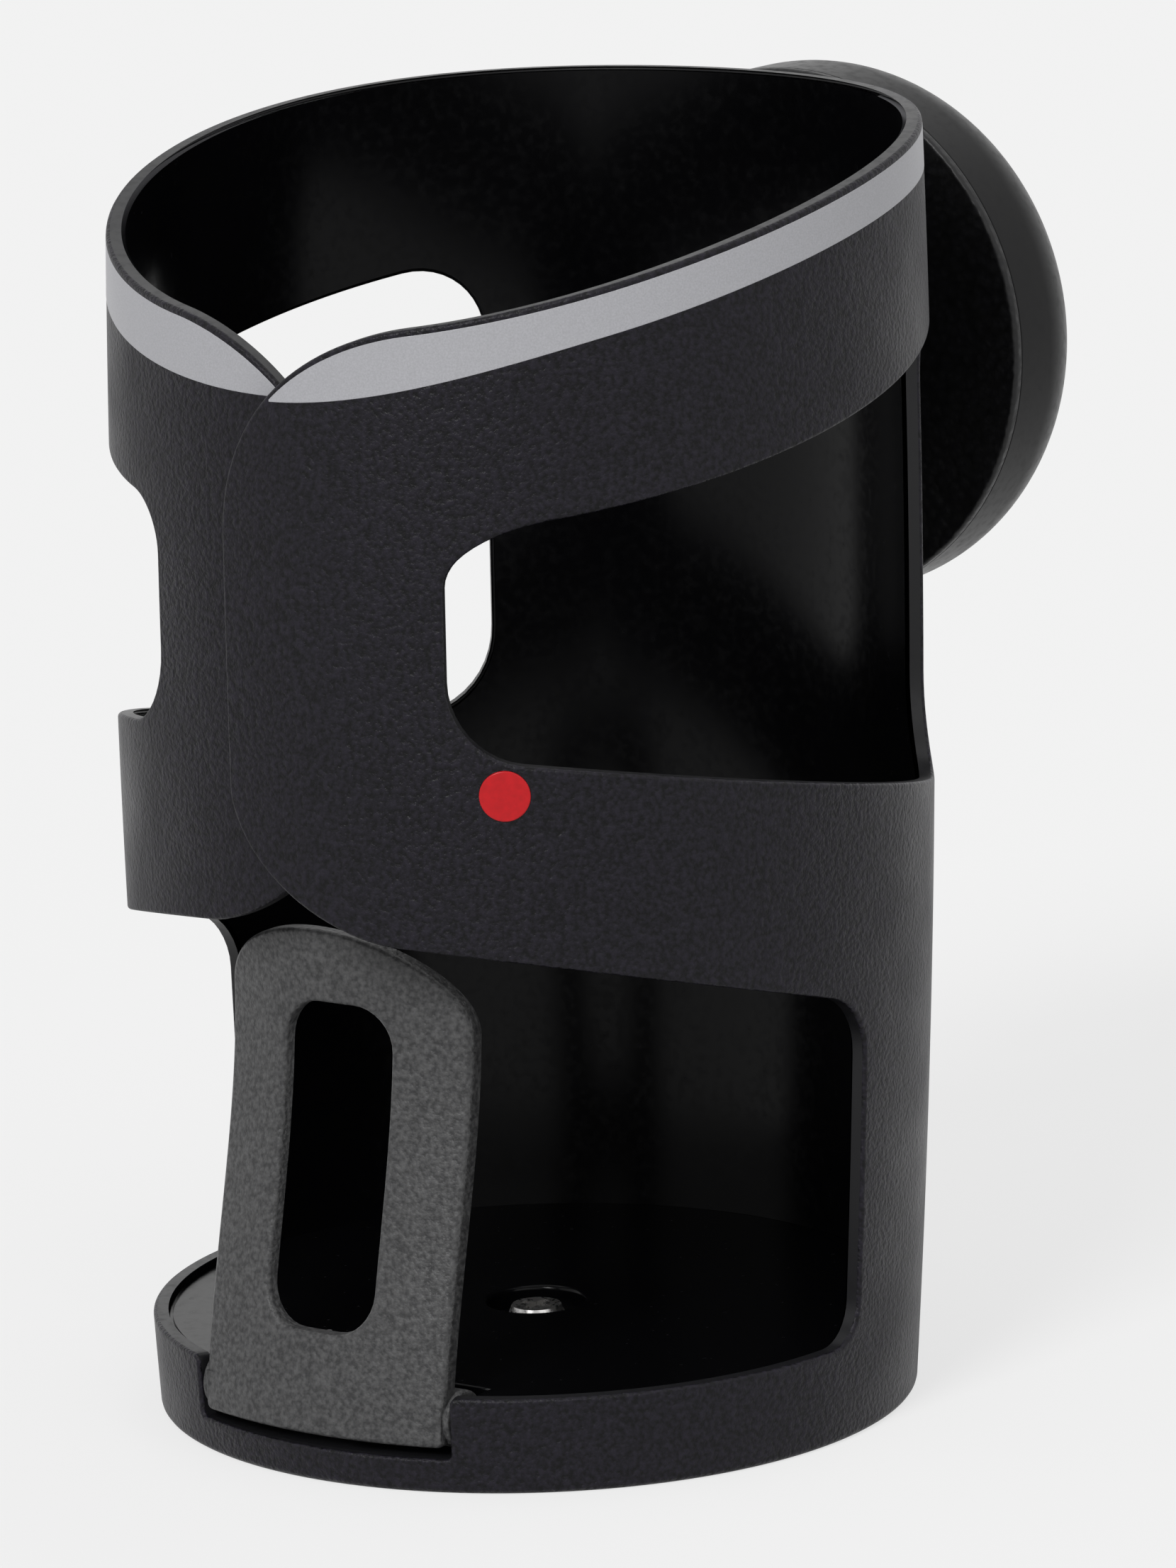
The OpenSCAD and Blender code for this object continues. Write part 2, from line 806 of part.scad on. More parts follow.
cup_body();
right_rim_strip();
left_rim_strip();
badge_dot();
grip_flap();
flap_pin();
flap_spring();
base_cover();
floor_screw();
mount_face();
swivel_bushing();
friction_washer();
retaining_washer();
pivot_screw();
mount_dome();
shell_screws();
mount_insert();
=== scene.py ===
"""Looks of the stroller cup holder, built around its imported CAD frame.

Lengths are in mm until a mesh is made. Places on the wall are (length round it, height)."""

import math

import bpy
import numpy as np
from mathutils import Matrix, Vector
from mathutils.geometry import delaunay_2d_cdt


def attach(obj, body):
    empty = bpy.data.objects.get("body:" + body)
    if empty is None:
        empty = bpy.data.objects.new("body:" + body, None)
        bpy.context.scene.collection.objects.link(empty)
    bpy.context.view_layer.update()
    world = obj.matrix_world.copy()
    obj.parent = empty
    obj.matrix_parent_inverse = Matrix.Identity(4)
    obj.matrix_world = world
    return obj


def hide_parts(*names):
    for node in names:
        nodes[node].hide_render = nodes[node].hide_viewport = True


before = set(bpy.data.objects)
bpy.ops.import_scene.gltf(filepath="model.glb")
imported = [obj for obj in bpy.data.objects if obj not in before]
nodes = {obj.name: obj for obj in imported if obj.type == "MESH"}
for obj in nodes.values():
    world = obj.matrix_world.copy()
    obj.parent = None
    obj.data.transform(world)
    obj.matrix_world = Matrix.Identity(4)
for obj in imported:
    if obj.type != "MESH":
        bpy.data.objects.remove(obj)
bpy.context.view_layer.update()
MM = 0.001

# Camera, fitted to the photo; its lens is given by the focal length in pixels of the photo's height

AZ, EL, ROLL = math.radians(35.61), math.radians(12.22), math.radians(-1.88)
TARGET_Z, TARGET_SIDE, CAMERA_FAR = 0.07144, 0.00798, 1.0
FOCAL_PIXELS, PHOTO_HEIGHT, SENSOR_HEIGHT = 12280, 2212, 36
back = Vector((math.sin(AZ) * math.cos(EL), -math.cos(AZ) * math.cos(EL), math.sin(EL)))
side = (-back).cross(Vector((0, 0, 1))).normalized()
up = side.cross(-back)
cam_x = math.cos(ROLL) * side + math.sin(ROLL) * up
cam_y = -math.sin(ROLL) * side + math.cos(ROLL) * up
target = Vector((0, 0, TARGET_Z)) + TARGET_SIDE * Vector((math.cos(AZ), math.sin(AZ), 0))
eye = target + CAMERA_FAR * back
cam = bpy.data.objects.new("camera", bpy.data.cameras.new("camera"))
bpy.context.collection.objects.link(cam)
cam.matrix_world = Matrix((
    (cam_x.x, cam_y.x, back.x, eye.x),
    (cam_x.y, cam_y.y, back.y, eye.y),
    (cam_x.z, cam_y.z, back.z, eye.z),
    (0, 0, 0, 1),
))
cam.data.sensor_fit = "VERTICAL"
cam.data.sensor_height = SENSOR_HEIGHT
cam.data.lens = FOCAL_PIXELS / PHOTO_HEIGHT * SENSOR_HEIGHT
cam.data.clip_start = 0.05
cam.data.clip_end = 50
bpy.context.scene.camera = cam
bpy.context.scene.view_settings.view_transform = "Standard"

# Sizes shared with the CAD

BASE_R, MOUTH_R, RIM_Z, BELLY, WALL = 44.0, 46.4, 149.2, 1.2, 2.2
LEAN = math.radians(1.2)
SILL_Z, FLOOR_Z = 11.2, 10.4
RIM_FALL, RIM_BELLY = 19.4, 4.2
WINDOW_TOP_Z, WINDOW_TOP_FALL = 118.3, 11.0
WINDOW_LOW_Z, WINDOW_LOW_RISE = 76.1, 8.1
BAND_Z, BAND_RISE = 51.0, 11.5
ARM_LAP = 7.0
K = MOUTH_R * math.pi / 180
END = ARM_LAP / MOUTH_R * 180 / math.pi
TUCK_FROM, TUCK_GAP, TUCK_LOW_Z = 80.0, 0.35, 30.0
TUCK = (WALL + TUCK_GAP) / (1 - math.cos(math.radians(TUCK_FROM - END)))
FLAP_X = -0.7
NOTCH_HALF, NOTCH_Z, NOTCH_BACK, NOTCH_FACE_R = 17.9, 4.0, -33.2, 44.1
HINGE_Y, HINGE_Z = -37.1, 7.8
MOUNT_Z, DISC_R, DEPTH = 115.0, 32.0, 20.0
STAND_OFF, HUB_TOP, SPIGOT_LEN = 8.4, 5.98, 8.58


def wall_r(z):
    """Radius of the wall's outer face at height z."""
    t = z / RIM_Z
    return BASE_R + (MOUTH_R - BASE_R) * t * (2 - t) + BELLY * 4 * t * (1 - t)


FACE_Y = wall_r(MOUNT_Z) + MOUNT_Z * math.sin(LEAN) + STAND_OFF


def cosd(a):
    return np.cos(np.radians(a))


def sind(a):
    return np.sin(np.radians(a))


def rim_at(a):
    return RIM_Z - RIM_FALL * (1 + cosd(a)) / 2 + RIM_BELLY * sind(a) ** 2


def top_at(a):
    return WINDOW_TOP_Z - WINDOW_TOP_FALL * cosd(a)


def low_at(a):
    return WINDOW_LOW_Z + WINDOW_LOW_RISE * cosd(a)


def band_at(a):
    return BAND_Z + BAND_RISE * cosd(a)


def level(z, a, r=MOUTH_R):
    """Height along the leaning wall at which it meets the level plane z."""
    return z - r * math.tan(LEAN) * cosd(a)


def lean(p):
    """Points of the leaning wall in the object's own frame."""
    c, s = math.cos(LEAN), math.sin(LEAN)
    return np.stack([p[..., 0], p[..., 1] * c + p[..., 2] * s, -p[..., 1] * s + p[..., 2] * c], -1)


def wall_place(uv, depth):
    """The wall, depth in from its face. Past 360 - TUCK_FROM degrees the upper part is the inner arm."""
    a = uv[..., 0] / K
    z = uv[..., 1]
    r = wall_r(z) - depth
    d = np.stack([sind(a), -cosd(a)], -1)
    c = -TUCK * np.array([sind(TUCK_FROM), cosd(TUCK_FROM)])
    along = d @ c
    inner = along + np.sqrt(np.maximum(along ** 2 - TUCK ** 2 + (r - TUCK) ** 2, 1))
    r = np.where((a > 360 - TUCK_FROM) & (z > TUCK_LOW_Z), inner, r)
    return lean(np.concatenate([d * r[..., None], z[..., None]], -1))


# Mesh helpers


def unit(w):
    return w / np.maximum(np.linalg.norm(w, axis=-1, keepdims=True), 1e-9)


class Parts:
    """Vertices, normals, faces and material numbers of one piece, gathered from several surfaces."""

    def __init__(self):
        self.v, self.n, self.f, self.m = [], [], [], []
        self.count = 0

    def add(self, v, n, faces, mats):
        v, n = np.asarray(v, float).reshape(-1, 3), np.asarray(n, float).reshape(-1, 3)
        self.v.append(v)
        self.n.append(unit(n))
        mats = [mats] * len(faces) if isinstance(mats, int) else list(mats)
        for face, mat in zip(faces, mats):
            pts = v[list(face)]
            area = np.zeros(3)
            for i in range(1, len(face) - 1):
                area += np.cross(pts[i] - pts[0], pts[i + 1] - pts[0])
            if area @ area < 1e-14:
                continue
            if area @ n[list(face)].sum(0) < 0:
                face = face[::-1]
            self.f.append(tuple(int(i) + self.count for i in face))
            self.m.append(mat)
        self.count += len(v)

    def make(self, name, materials):
        v, n = np.concatenate(self.v), np.concatenate(self.n)
        mesh = bpy.data.meshes.new(name)
        mesh.from_pydata((v * MM).tolist(), [], self.f)
        for mat in materials:
            mesh.materials.append(mat)
        mesh.polygons.foreach_set("material_index", self.m)
        mesh.polygons.foreach_set("use_smooth", [True] * len(self.f))
        mesh.update()
        mesh.normals_split_custom_set_from_vertices(n.tolist())
        obj = bpy.data.objects.new(name, mesh)
        bpy.context.collection.objects.link(obj)
        return obj


def left_normals(p, closed):
    """Unit normals to the left of a line of points, mitred at its corners."""
    if closed:
        before, after = np.roll(p, 1, 0), np.roll(p, -1, 0)
    else:
        before, after = np.vstack([2 * p[0] - p[1], p[:-1]]), np.vstack([p[1:], 2 * p[-1] - p[-2]])
    t0, t1 = unit(p - before), unit(after - p)
    t = unit(t0 + t1)
    n = np.stack([-t[:, 1], t[:, 0]], -1)
    return n / np.clip((t0 * t).sum(1), 0.6, 1)[:, None]


def inside(p, loops):
    """Which points are inside the loops, by the odd-even rule."""
    hit = np.zeros(len(p), bool)
    for loop in loops:
        a, b = loop, np.roll(loop, -1, 0)
        for (x0, y0), (x1, y1) in zip(a, b):
            if y0 == y1:
                continue
            cross = (p[:, 1] >= min(y0, y1)) & (p[:, 1] < max(y0, y1))
            hit ^= cross & (p[:, 0] < x0 + (p[:, 1] - y0) * (x1 - x0) / (y1 - y0))
    return hit


def fill(loops, step):
    """Triangles over the loops, with a grid of points inside them; step is a number or one for each axis."""
    step = (step, step) if isinstance(step, (int, float)) else step
    edge = np.concatenate(loops)
    lo, hi = edge.min(0), edge.max(0)
    gx = np.arange(lo[0] + step[0] / 2, hi[0], step[0])
    gy = np.arange(lo[1] + step[1] / 2, hi[1], step[1])
    grid = np.array([(x, y) for x in gx for y in gy])
    grid = grid[inside(grid, loops)]
    keep = np.ones(len(grid), bool)
    reach = 0.45 * min(step)
    for i in range(0, len(edge), 200):
        gap = np.abs(grid[:, None, :] - edge[None, i:i + 200, :])
        keep &= ~(np.hypot(gap[..., 0], gap[..., 1]) < reach).any(1)
    pts = np.vstack([edge, grid[keep]])
    lines, start = [], 0
    for loop in loops:
        lines += [(start + i, start + (i + 1) % len(loop)) for i in range(len(loop))]
        start += len(loop)
    out, _, tris = delaunay_2d_cdt([Vector(p) for p in pts], lines, [], 0, 1e-7)[:3]
    out = np.array([(p.x, p.y) for p in out])
    tris = np.array([t for t in tris if len(t) == 3])
    mid = out[tris].mean(1)
    return out, tris[inside(mid, loops)]


def frame_of(place, uv, depth, e=0.05):
    """Two tangents and the outward normal of a placed surface."""
    du = place(uv + [e, 0], depth) - place(uv - [e, 0], depth)
    dv = place(uv + [0, e], depth) - place(uv - [0, e], depth)
    out = place(uv, depth - e) - place(uv, depth + e)
    n = np.cross(du, dv)
    n *= np.sign((n * out).sum(-1, keepdims=True))
    return unit(du), unit(dv), unit(n)


def edge_profile(f, thick, steps):
    """(inset, depth, angle) rows across an edge, rounded by f, from the outer face inwards.

    The inner rounding turns back into the sheet, and its last row is 2 f short of the inner face."""
    rows = [(f * (1 - math.sin(t)), f * (1 - math.cos(t)), t)
            for t in np.linspace(0, math.pi / 2, steps + 1)]
    rows += [(f * (1 - math.sin(t)), thick - f * (1 - math.cos(t)), t)
             for t in np.linspace(math.pi / 2, math.pi, steps + 1)]
    return rows


def shell(parts, loops, place, thick, step, mats=(0, 0, 0), steps=4, back=True):
    """A sheet with rounded edges; each loop is a list of (points, closed, fillet) lines, end to end.

    mats holds the material numbers of its outer face, its edges and its inner face."""
    rims, flat = [], []
    for loop in loops:
        ring = []
        for line, closed, f in loop:
            line = np.asarray(line, float)
            if f:
                n = left_normals(line, closed)
                rims.append((line, n, closed, f))
                ring.append(line + n * f)
            else:
                ring.append(line)
        flat.append(np.concatenate(ring))
    uv, tris = fill(flat, step)
    for depth, sign, mat in ((0.0, 1, mats[0]), (thick, -1, mats[2])):
        if sign < 0 and not back:
            continue
        zero = np.full(len(uv), depth)
        parts.add(place(uv, zero), sign * frame_of(place, uv, zero)[2], tris.tolist(), mat)
    for line, n, closed, f in rims:
        rows = edge_profile(f, thick, steps)
        v, nn, mm, faces = [], [], [], []
        for inset, depth, turn in rows:
            p = line + n * inset
            zero = np.full(len(p), depth)
            du, dv, out = frame_of(place, p, zero)
            edge = -(du * n[:, :1] + dv * n[:, 1:])
            v.append(place(p, zero))
            nn.append(math.cos(turn) * out + math.sin(turn) * edge)
        count = len(line)
        for r in range(len(rows) - 1):
            middle = (rows[r][1] + rows[r + 1][1]) / 2 / thick
            mat = mats[0] if middle < 0.2 else mats[1] if middle < 0.8 else mats[2]
            for i in range(count if closed else count - 1):
                j = (i + 1) % count
                faces.append((r * count + i, r * count + j, (r + 1) * count + j, (r + 1) * count + i))
                mm.append(mat)
        parts.add(np.concatenate(v), np.concatenate(nn), faces, mm)


def rounded(points, radii, steps=4, support=0.15):
    """A line of points whose corners are rounded, with a close point on each side of a corner."""
    pts = [np.array(p, float) for p in points]
    out = [pts[0]]
    for i in range(1, len(pts) - 1):
        p, r = pts[i], radii[i]
        a, b = pts[i - 1] - p, pts[i + 1] - p
        la, lb = np.linalg.norm(a), np.linalg.norm(b)
        a, b = a / la, b / lb
        half = math.acos(np.clip(a @ b, -1, 1)) / 2
        if r <= 0 or half > math.radians(88):
            out.append(p)
            continue
        cut = min(r / math.tan(half), 0.45 * la, 0.45 * lb)
        r = cut * math.tan(half)
        centre = p + (a + b) / np.linalg.norm(a + b) * r / math.sin(half)
        p0, p1 = p + a * cut, p + b * cut
        out.append(p0 + a * min(support, 0.2 * la))
        w0, w1 = p0 - centre, p1 - centre
        turn = math.atan2(w0[0] * w1[1] - w0[1] * w1[0], w0 @ w1)
        for k in range(steps + 1):
            t = turn * k / steps
            c, s = math.cos(t), math.sin(t)
            out.append(centre + np.array([c * w0[0] - s * w0[1], s * w0[0] + c * w0[1]]))
        out.append(p1 + b * min(support, 0.2 * lb))
    out.append(pts[-1])
    return np.array(out)


def lathe(parts, profile, place, segs, mat):
    """A profile of (radius, height) turned about an axis; place maps (x, y, height) to the object."""
    profile = np.asarray(profile, float)
    d0 = unit(np.diff(profile, axis=0))
    d = np.vstack([d0[:1], d0[:-1] + d0[1:], d0[-1:]])
    normals = np.stack([d[:, 1], -d[:, 0]], -1)
    a = np.radians(360 * np.arange(segs) / segs)
    v, n = [np.stack([np.outer(rows[:, 0], np.cos(a)), np.outer(rows[:, 0], np.sin(a)),
                      np.repeat(rows[:, 1:], segs, 1)], -1) for rows in (profile, normals)]
    faces = []
    for i in range(len(profile) - 1):
        for k in range(segs):
            j = (k + 1) % segs
            quad = [i * segs + k, i * segs + j, (i + 1) * segs + j, (i + 1) * segs + k]
            if profile[i, 0] < 1e-9:
                quad = quad[1:]
            if profile[i + 1, 0] < 1e-9:
                quad = quad[:3]
            faces.append(quad)
    origin = place(np.zeros((1, 3)))
    parts.add(place(v.reshape(-1, 3)), place(n.reshape(-1, 3)) - origin, faces, mat)


def circle(radius, count, clockwise=False):
    t = np.radians(np.linspace(0, 360, count, endpoint=False))
    return radius * np.stack([np.cos(t), -np.sin(t) if clockwise else np.sin(t)], -1)


def polyline(points, step=1.2):
    """Straight lines through the points, with more points about step mm apart."""
    out = []
    for a, b in zip(points[:-1], points[1:]):
        a, b = np.array(a, float), np.array(b, float)
        n = max(1, int(np.linalg.norm(b - a) / step))
        out += [a + (b - a) * i / n for i in range(n)]
    return np.array(out + [np.array(points[-1], float)])


def upright(p):
    return p


def on_mount(p):
    """Local z runs along +Y from the face of the mount."""
    return np.stack([p[..., 0], FACE_Y + p[..., 2], MOUNT_Z - p[..., 1]], -1)


def along_x(y, z):
    return lambda p: np.stack([p[..., 2], y + p[..., 0], z + p[..., 1]], -1)


def corner(at, r, start, stop, steps=8, power=2.0, ry=None):
    """A quarter of a rounded corner: r wide and ry high about its centre, from angle start to stop."""
    ry = r if ry is None else ry
    t = np.radians(np.linspace(start, stop, steps + 1))
    c, s = np.cos(t), np.sin(t)
    e = 2 / power
    return np.stack([at[0] + r * np.sign(c) * np.abs(c) ** e, at[1] + ry * np.sign(s) * np.abs(s) ** e], -1)


def run(a0, a1, step=1.2):
    """Angles from a0 to a1, about step mm apart, without either end."""
    n = max(2, int(abs(a1 - a0) * K / step))
    return np.linspace(a0, a1, n + 1)[1:-1]


def along(angles, height):
    return np.stack([np.asarray(angles) * K, height(np.asarray(angles))], -1)


def bent(points, height):
    """Corner points whose heights are offsets from a curve of the angle."""
    p = np.array(points)
    p[:, 1] += height(p[:, 0] / K)
    return p


# Materials


def new_material(name, colour, rough, specular=0.5, metallic=0.0, coat=0.0, coat_rough=0.1):
    mat = bpy.data.materials.new(name)
    mat.use_nodes = True
    bsdf = mat.node_tree.nodes["Principled BSDF"]
    bsdf.inputs["Base Color"].default_value = (*colour, 1)
    bsdf.inputs["Roughness"].default_value = rough
    bsdf.inputs["Specular IOR Level"].default_value = specular
    bsdf.inputs["Metallic"].default_value = metallic
    bsdf.inputs["Coat Weight"].default_value = coat
    bsdf.inputs["Coat Roughness"].default_value = coat_rough
    return mat, mat.node_tree, bsdf


def noise(tree, scale, detail=2.0, stretch=(1, 1, 1), kind="noise"):
    """A noise or cell pattern of the object's own coordinates; scale is in features per metre."""
    coord = tree.nodes.new("ShaderNodeTexCoord")
    mapping = tree.nodes.new("ShaderNodeMapping")
    mapping.inputs["Scale"].default_value = stretch
    tree.links.new(coord.outputs["Object"], mapping.inputs["Vector"])
    if kind == "cells":
        tex = tree.nodes.new("ShaderNodeTexVoronoi")
        tex.feature = "SMOOTH_F1"
        tex.inputs["Smoothness"].default_value = 0.6
        out = tex.outputs["Distance"]
    else:
        tex = tree.nodes.new("ShaderNodeTexNoise")
        tex.inputs["Detail"].default_value = detail
        out = tex.outputs["Fac"]
    tex.inputs["Scale"].default_value = scale
    tree.links.new(mapping.outputs["Vector"], tex.inputs["Vector"])
    return out


def ramp(tree, value, low, high, start=0.3, stop=0.7):
    """value mapped from start..stop to low..high, which are numbers or colours."""
    kind = "ShaderNodeValToRGB" if isinstance(low, tuple) else "ShaderNodeMapRange"
    node = tree.nodes.new(kind)
    if isinstance(low, tuple):
        node.color_ramp.elements[0].position = start
        node.color_ramp.elements[1].position = stop
        node.color_ramp.elements[0].color = (*low, 1)
        node.color_ramp.elements[1].color = (*high, 1)
        tree.links.new(value, node.inputs["Fac"])
        return node.outputs["Color"]
    for key, val in (("From Min", start), ("From Max", stop), ("To Min", low), ("To Max", high)):
        node.inputs[key].default_value = val
    tree.links.new(value, node.inputs["Value"])
    return node.outputs["Result"]


def bump(tree, bsdf, layers):
    """Layers of (height, strength, distance in metres), one on the other."""
    last = None
    for height, strength, distance in layers:
        node = tree.nodes.new("ShaderNodeBump")
        node.inputs["Strength"].default_value = strength
        node.inputs["Distance"].default_value = distance
        tree.links.new(height, node.inputs["Height"])
        if last is not None:
            tree.links.new(last, node.inputs["Normal"])
        last = node.outputs["Normal"]
    tree.links.new(last, bsdf.inputs["Normal"])


def grained(name, dark, light, rough, grain=3600, strength=0.5, depth=0.00005, specular=0.3, spread=0.08):
    """Moulded plastic with a fine eroded grain, slightly uneven in colour and sheen."""
    mat, tree, bsdf = new_material(name, light, rough, specular)
    fine = noise(tree, grain, 3.0)
    broad = noise(tree, 60, 3.0)
    tree.links.new(ramp(tree, fine, dark, light, 0.35, 0.68), bsdf.inputs["Base Color"])
    tree.links.new(ramp(tree, broad, rough - spread, rough + spread), bsdf.inputs["Roughness"])
    bump(tree, bsdf, [(fine, strength, depth), (noise(tree, grain / 3, 1.0), strength * 0.2, depth)])
    return mat


def smooth(name, colour, rough, specular=0.3, wave=0.1):
    """Moulded plastic with a polished face: faint flow marks and a little dust in its sheen."""
    mat, tree, bsdf = new_material(name, colour, rough, specular)
    broad = noise(tree, 45, 2.0)
    dust = noise(tree, 900, 4.0)
    tree.links.new(ramp(tree, dust, rough, rough + 0.12, 0.45, 0.8), bsdf.inputs["Roughness"])
    lift = tuple(c * 1.35 for c in colour)
    tree.links.new(ramp(tree, broad, colour, lift), bsdf.inputs["Base Color"])
    bump(tree, bsdf, [(broad, wave, 0.0004)])
    return mat


def metal(name, colour, rough, brushed=(1, 1, 1)):
    mat, tree, bsdf = new_material(name, colour, rough, 0.5, 1.0)
    lines = noise(tree, 2500, 2.0, brushed)
    stain = noise(tree, 250, 3.0)
    dull = tuple(c * 0.8 for c in colour)
    tree.links.new(ramp(tree, stain, dull, colour), bsdf.inputs["Base Color"])
    tree.links.new(ramp(tree, lines, rough - 0.06, rough + 0.12), bsdf.inputs["Roughness"])
    bump(tree, bsdf, [(lines, 0.15, 0.00002)])
    return mat


BLACK = grained("grained_black", (0.0008, 0.0007, 0.0014), (0.0125, 0.0108, 0.0175), 0.42,
                1700, 1.0, 0.00024, 0.2)
GLOSS = smooth("gloss_black", (0.0012, 0.0012, 0.0015), 0.18, 0.12)
EDGE = smooth("edge_black", (0.006, 0.006, 0.007), 0.38, 0.3)
STRIP = grained("reflective_grey", (0.37, 0.37, 0.39), (0.43, 0.43, 0.455), 0.42,
                5200, 0.12, 0.00002, 0.4, 0.04)
GREY = grained("grained_grey", (0.03, 0.03, 0.031), (0.086, 0.086, 0.087), 0.42, 1700, 1.0, 0.0002, 0.3)
SATIN = smooth("satin_black", (0.0012, 0.0012, 0.0015), 0.3, 0.12)
STEEL = metal("steel", (0.62, 0.61, 0.6), 0.28)
SPRING = metal("spring_steel", (0.5, 0.5, 0.51), 0.35, (1, 4, 4))
BRASS = metal("brass", (0.72, 0.5, 0.22), 0.3)
COVER = grained("cover_black", (0.010, 0.010, 0.011), (0.02, 0.02, 0.022), 0.6, 2400, 0.4)
ACETAL = grained("acetal", (0.62, 0.62, 0.58), (0.72, 0.72, 0.68), 0.4, 3000, 0.1, 0.00002, 0.4)
FIBRE = grained("pressed_fibre", (0.13, 0.09, 0.05), (0.28, 0.2, 0.11), 0.8, 1800, 0.6, 0.00008, 0.2)


def red_gloss():
    mat, tree, bsdf = new_material("red_gloss", (0.5, 0.003, 0.007), 0.3, 0.25, coat=0.15)
    fine = noise(tree, 1500, 2.0)
    tree.links.new(ramp(tree, fine, (0.46, 0.0025, 0.006), (0.54, 0.0035, 0.008)), bsdf.inputs["Base Color"])
    bump(tree, bsdf, [(fine, 0.05, 0.00002)])
    return mat


def pebbled_black():
    mat, tree, bsdf = new_material("pebbled_black", (0.004, 0.004, 0.0045), 0.42, 0.35)
    pebbles = noise(tree, 900, kind="cells")
    fine = noise(tree, 3500, 2.0)
    tree.links.new(ramp(tree, fine, 0.36, 0.5), bsdf.inputs["Roughness"])
    tree.links.new(ramp(tree, pebbles, (0.007, 0.007, 0.008), (0.0028, 0.0028, 0.003), 0.1, 0.7),
                   bsdf.inputs["Base Color"])
    bump(tree, bsdf, [(pebbles, 0.55, 0.00025), (fine, 0.2, 0.00003)])
    return mat


RED = red_gloss()
PEBBLE = pebbled_black()

# Cup wall


def deg(length):
    return length / K


def level_sill(a):
    return level(SILL_Z, a)


def level_notch(a):
    return level(NOTCH_Z, a, NOTCH_FACE_R)


def foot_at(a):
    return level(0, a, BASE_R)


def upright_line(a, z0, z1, step=1.5):
    n = max(2, int(abs(z1 - z0) / step))
    return np.stack([np.full(n - 1, a * K), np.linspace(z0, z1, n + 1)[1:-1]], -1)


A0, A1, A2 = -END, 360 - END, 360 + END
NOTCH_SIDE_Z = 8.0
NOTCH_WALL_R = wall_r(NOTCH_SIDE_Z)
NOTCH_RIGHT = math.degrees(math.asin((NOTCH_HALF + FLAP_X) / NOTCH_WALL_R))
NOTCH_LEFT = 360 - math.degrees(math.asin((NOTCH_HALF - FLAP_X) / NOTCH_WALL_R))
RIGHT_OPEN, LEFT_OPEN, OPEN_LOW, OPEN_TOP = 90.2, 93.4, 4.8, 6.0
TOP_RUN, TOP_DROP, LOW_RUN, LOW_LIFT, LOW_POWER = 24.0, 23.0, 21.0, 16.0, 1.7
RIGHT_WINDOW, LEFT_WINDOW = (25.2, 136, 12.0), (27.6, 139.5, 6.0)
WALL_F, FOOT_F, SILL_R, NOTCH_R = 0.45, 0.8, 0.9, 0.5


def wall_outline():
    """The free edge of the wall, from the seam under the notch round both arms, material on its left."""
    p = []
    left, right = NOTCH_LEFT, NOTCH_RIGHT
    p.append(along([A1, *run(A1, left + deg(NOTCH_R))], level_notch))
    p.append(bent(corner((left * K + NOTCH_R, NOTCH_R), NOTCH_R, 270, 180, 3), level_notch))
    p.append(upright_line(left, level_notch(left) + NOTCH_R, level_sill(left) - SILL_R))
    p.append(bent(corner((left * K - SILL_R, -SILL_R), SILL_R, 0, 90, 5), level_sill))
    p.append(along(run(left - deg(SILL_R), 360 - LEFT_OPEN + deg(OPEN_LOW)), level_sill))
    a = 360 - LEFT_OPEN
    p.append(bent(corner((a * K + OPEN_LOW, OPEN_LOW), OPEN_LOW, 270, 180), level_sill))
    p.append(upright_line(a, level_sill(a) + OPEN_LOW, band_at(a) - OPEN_TOP))
    p.append(bent(corner((a * K + OPEN_TOP, -OPEN_TOP), OPEN_TOP, 180, 90), band_at))
    p.append(along(run(a + deg(OPEN_TOP), A2 - deg(LOW_RUN)), band_at))
    p.append(bent(corner((A2 * K - LOW_RUN, LOW_LIFT), LOW_RUN, 270, 360, 24, LOW_POWER, LOW_LIFT), band_at))
    p.append(upright_line(A2, band_at(A2) + LOW_LIFT, rim_at(A2) - TOP_DROP))
    p.append(bent(corner((A2 * K - TOP_RUN, -TOP_DROP), TOP_RUN, 0, 90, 32, 2, TOP_DROP), rim_at))
    p.append(along(run(A2 - deg(TOP_RUN), A0 + deg(TOP_RUN)), rim_at))
    p.append(bent(corner((A0 * K + TOP_RUN, -TOP_DROP), TOP_RUN, 90, 180, 32, 2, TOP_DROP), rim_at))
    p.append(upright_line(A0, rim_at(A0) - TOP_DROP, band_at(A0) + LOW_LIFT))
    p.append(bent(corner((A0 * K + LOW_RUN, LOW_LIFT), LOW_RUN, 180, 270, 24, LOW_POWER, LOW_LIFT), band_at))
    p.append(along(run(A0 + deg(LOW_RUN), RIGHT_OPEN - deg(OPEN_TOP)), band_at))
    p.append(bent(corner((RIGHT_OPEN * K - OPEN_TOP, -OPEN_TOP), OPEN_TOP, 90, 0), band_at))
    p.append(upright_line(RIGHT_OPEN, band_at(RIGHT_OPEN) - OPEN_TOP, level_sill(RIGHT_OPEN) + OPEN_LOW))
    p.append(bent(corner((RIGHT_OPEN * K - OPEN_LOW, OPEN_LOW), OPEN_LOW, 360, 270), level_sill))
    p.append(along(run(RIGHT_OPEN - deg(OPEN_LOW), right + deg(SILL_R)), level_sill))
    p.append(bent(corner((right * K + SILL_R, -SILL_R), SILL_R, 90, 180, 5), level_sill))
    p.append(upright_line(right, level_sill(right) - SILL_R, level_notch(right) + NOTCH_R))
    p.append(bent(corner((right * K - NOTCH_R, NOTCH_R), NOTCH_R, 360, 270, 3), level_notch))
    p.append(along([*run(right - deg(NOTCH_R), A0), A0], level_notch))
    return np.concatenate(p)


